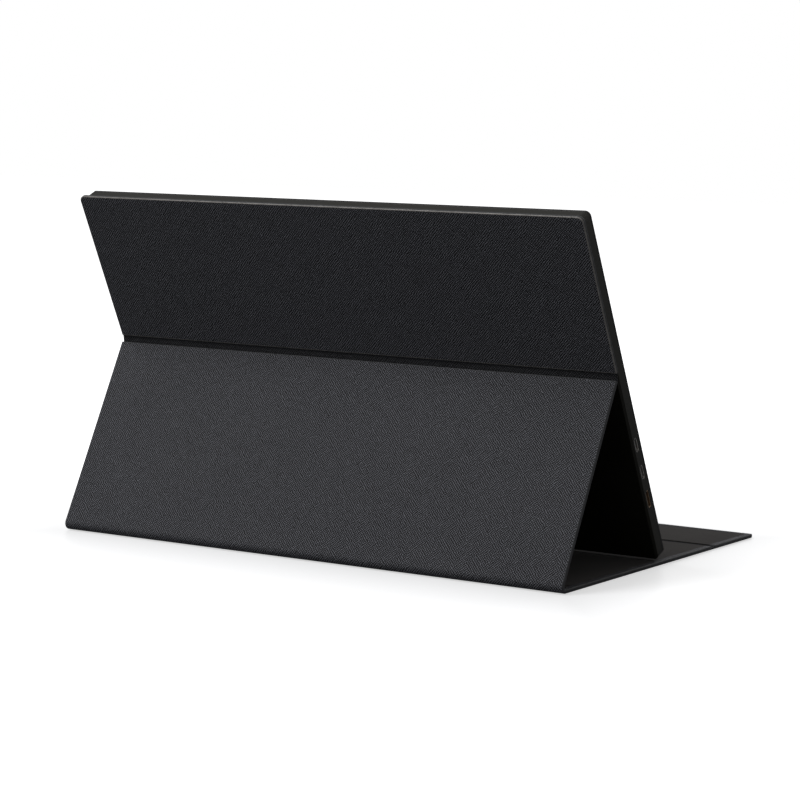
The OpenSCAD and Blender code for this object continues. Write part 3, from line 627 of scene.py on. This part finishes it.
screen = softened("lcd_cell", "screen", 0.0001, 2, screen_film())
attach(screen, "display")

# Inner layers of the screen module.
# White moulded frame, diffuser sheets, clear acrylic light guide, white reflector, LED bar and
# a pressed steel tray that holds the stack.


def inner_finish(name, dark, light, scale, roughness, metallic=0.0, **more):
    """Even industrial surface with the fine unevenness that its process leaves."""
    finish, tree, shader = new_finish(name)
    place = add(tree, "ShaderNodeTexCoord").outputs["Object"]
    uneven = add(tree, "ShaderNodeTexNoise", {"Vector": place, "Scale": scale,
                 "Detail": 3.0}).outputs[0]
    tree.links.new(two_tones(tree, uneven, dark, light), shader.inputs["Base Color"])
    tree.links.new(spread(tree, uneven, 0.2, 0.8, roughness - 0.06, roughness + 0.06),
                   shader.inputs["Roughness"])
    relief = add(tree, "ShaderNodeBump", {"Height": uneven, "Strength": 0.1,
                 "Distance": 0.00003}).outputs[0]
    tree.links.new(relief, shader.inputs["Normal"])
    set_to(shader, Metallic=metallic, **more)
    return finish


dress(inner_finish("White polycarbonate", "#dededa", "#ececea", 900.0, 0.45), "panel_frame")
dress(inner_finish("Diffuser film", "#ecece8", "#f6f6f2", 2600.0, 0.55), "diffuser_sheets")
dress(inner_finish("Reflector film", "#f2f2f0", "#fafaf8", 1800.0, 0.35), "reflector_sheet")
dress(inner_finish("Clear acrylic", "#dcecf0", "#e6f4f6", 1400.0, 0.12, IOR=1.49,
                   Transmission_Weight=0.8), "light_guide")
dress(inner_finish("LED phosphor", "#e2cf62", "#f3e79a", 1500.0, 0.4), "led_bar")
pressed_steel = inner_finish("Pressed zinc-plated steel", "#a9acb0", "#c3c6ca", 1000.0, 0.32, 1.0)
dress(pressed_steel, "backlight_tray")

# Circuit boards, chips, ribbons, switches, screws and speakers.
# Glass-fibre boards with green solder mask, black moulded packages and gold film ribbons.


def solder_mask():
    """Glossy green lacquer over copper: lighter where tracks run under it, 0.4 mm wide."""
    finish, tree, shader = new_finish("Green solder mask")
    place = add(tree, "ShaderNodeTexCoord").outputs["Object"]
    tracks = add(tree, "ShaderNodeTexBrick", {"Vector": place, "Scale": 260.0,
                 "Color1": linear("#1b5a38"), "Color2": linear("#1f6440"),
                 "Mortar": linear("#2d7d53"), "Mortar Size": 0.05}).outputs[0]
    tree.links.new(tracks, shader.inputs["Base Color"])
    set_to(shader, Roughness=0.28, IOR=1.5)
    return finish


dress(solder_mask(), "driver_board", "main_board", "button_board")
dress(inner_finish("Moulded epoxy package", "#17181a", "#232427", 2400.0, 0.5), "board_chips")
dress(inner_finish("Polyimide film", "#b98d33", "#c89c42", 700.0, 0.3), "display_ribbon",
      "button_ribbon")
dress(inner_finish("Stainless steel", "#b4b7ba", "#c9ccce", 1600.0, 0.28, 1.0),
      "button_switches", "board_screws")
dress(inner_finish("Speaker housing", "#26282b", "#33363a", 1600.0, 0.5), "speaker_left",
      "speaker_right")

# Sockets in the left wall: two flat ovals and a longer one with two sloped corners.
# Drawn sheet metal round a plastic tongue, bright at the rim and dark inside.

socket_metal = inner_finish("Nickel-plated steel socket", "#cfcdca", "#eceae6", 1900.0, 0.3, 1.0)
gilt_metal = inner_finish("Gilt socket shell", "#b9a28a", "#d3bca2", 1900.0, 0.3, 1.0)
for node, name in (("usb_c_socket_upper", "upper_oval_socket"),
                   ("usb_c_socket_lower", "lower_oval_socket"),
                   ("mini_picture_socket", "picture_socket")):
    metal = gilt_metal if name == "picture_socket" else socket_metal
    socket = softened(node, name, 0.0001, 2, metal)
    # The outer 0.3 mm of the shell stands 0.05 mm further out
    mouth = min(v.co.x for v in socket.data.vertices)
    for v in socket.data.vertices:
        if v.co.x < mouth + 0.0003:
            v.co.x -= 0.00005
    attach(socket, "display")

jack = softened("headphone_socket", "headphone_jack", 0.00008, 2,
                moulded_plastic("Moulded nylon, jack", "#151618", "#1d1e20", 0.45))
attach(jack, "display")

# Power button and menu rocker in the right wall.
# Moulded from the casing's plastic, with rounded faces that stand 0.4 mm proud.

for node in ("power_button", "menu_rocker"):
    key = softened(node, node + "_cap", 0.0002, 3, casing_plastic)
    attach(key, node)

# Studio: a white floor with a soft shadow, three area lamps, a dim world and the camera.
# Only the camera sees the floor's glow and its reflection, so neither lights the part.

floor_mesh = bmesh.new()
bmesh.ops.create_grid(floor_mesh, x_segments=1, y_segments=1, size=4.0)
floor_finish = bpy.data.materials.new("White floor")
floor_finish.use_nodes = True
tree = floor_finish.node_tree
tree.nodes.clear()
place = add(tree, "ShaderNodeTexCoord").outputs["Object"]
glow = add(tree, "ShaderNodeEmission", {"Color": (1, 1, 1, 1), "Strength": 1.1})
pale = add(tree, "ShaderNodeBsdfDiffuse", {"Color": linear("#d4d5d8")})
seen = add(tree, "ShaderNodeAddShader", {0: pale.outputs[0], 1: glow.outputs[0]})
bounce = add(tree, "ShaderNodeBsdfDiffuse", {"Color": linear("#8e8f92")})
ray = add(tree, "ShaderNodeLightPath")
plain = add(tree, "ShaderNodeMixShader", {0: ray.outputs["Is Camera Ray"],
            1: bounce.outputs[0], 2: seen.outputs[0]})
# The reflection fades over 0.16 m from the edge of the 0.36 by 0.23 m footprint
shine = add(tree, "ShaderNodeBsdfGlossy", {"Roughness": 0.35})
sides = add(tree, "ShaderNodeVectorMath", {0: place}, operation="ABSOLUTE").outputs[0]
beyond = add(tree, "ShaderNodeVectorMath", {0: sides, 1: (0.18, 0.115, 0)},
             operation="SUBTRACT").outputs[0]
apart = add(tree, "ShaderNodeSeparateXYZ", {0: beyond})
away = add(tree, "ShaderNodeMath", {0: apart.outputs[0], 1: apart.outputs[1]},
           operation="MAXIMUM").outputs[0]
share = add(tree, "ShaderNodeMath", {0: ray.outputs["Is Camera Ray"],
            1: spread(tree, away, 0, 0.16, 0.45, 0)}, operation="MULTIPLY").outputs[0]
top = add(tree, "ShaderNodeMixShader", {0: share, 1: plain.outputs[0], 2: shine.outputs[0]})
add(tree, "ShaderNodeOutputMaterial", {"Surface": top.outputs[0]})
floor = finished(floor_mesh, "floor", Matrix.Translation((0, 0, -0.0004)), floor_finish)

target = Vector((0, 0.02, 0.09))
for name, spot, size, power in (("key", (1.0, 1.2, 2.1), 1.2, 31),
                                ("fill", (-1.6, 1.2, 1.0), 1.4, 0.8),
                                ("front", (-0.2, -1.8, 1.3), 1.4, 6)):
    data = bpy.data.lights.new(name, "AREA")
    data.size = size
    data.energy = power
    lamp = bpy.data.objects.new(name, data)
    lamp.location = spot
    lamp.rotation_euler = (target - Vector(spot)).to_track_quat("-Z", "Y").to_euler()
    bpy.context.scene.collection.objects.link(lamp)

world = bpy.data.worlds.new("White studio")
bpy.context.scene.world = world
world.use_nodes = True
tree = world.node_tree
tree.nodes.clear()
ray = add(tree, "ShaderNodeLightPath")
direct = add(tree, "ShaderNodeMath", {0: ray.outputs["Is Camera Ray"],
             1: ray.outputs["Is Transmission Ray"]}, operation="MAXIMUM")
around = add(tree, "ShaderNodeMath", {0: ray.outputs["Is Glossy Ray"], 1: 0.4},
             operation="MULTIPLY")
either = add(tree, "ShaderNodeMath", {0: direct.outputs[0], 1: around.outputs[0]},
             operation="MAXIMUM")
strength = add(tree, "ShaderNodeMath", {0: either.outputs[0], 1: 0.12}, operation="MAXIMUM")
sky = add(tree, "ShaderNodeBackground", {"Color": (1, 1, 1, 1),
          "Strength": strength.outputs[0]})
add(tree, "ShaderNodeOutputWorld", {"Surface": sky.outputs[0]})
bpy.context.scene.view_settings.view_transform = "Standard"

yaw = math.radians(34.017)
pitch = math.radians(6.904)
roll = math.radians(0.443)
ahead = Vector((math.sin(yaw) * math.cos(pitch), -math.cos(yaw) * math.cos(pitch),
                -math.sin(pitch)))
level = ahead.cross(Vector((0, 0, 1))).normalized()
above = level.cross(ahead)
right = math.cos(roll) * level + math.sin(roll) * above
up = -math.sin(roll) * level + math.cos(roll) * above
camera_data = bpy.data.cameras.new("camera")
camera_data.lens = 122.8
camera_data.sensor_width = 36
camera = bpy.data.objects.new("camera", camera_data)
turned = Matrix((right, up, -ahead)).transposed().to_4x4()
camera.matrix_world = Matrix.Translation((-0.9317, 1.3902, 0.2862)) @ turned
bpy.context.scene.collection.objects.link(camera)
bpy.context.scene.camera = camera
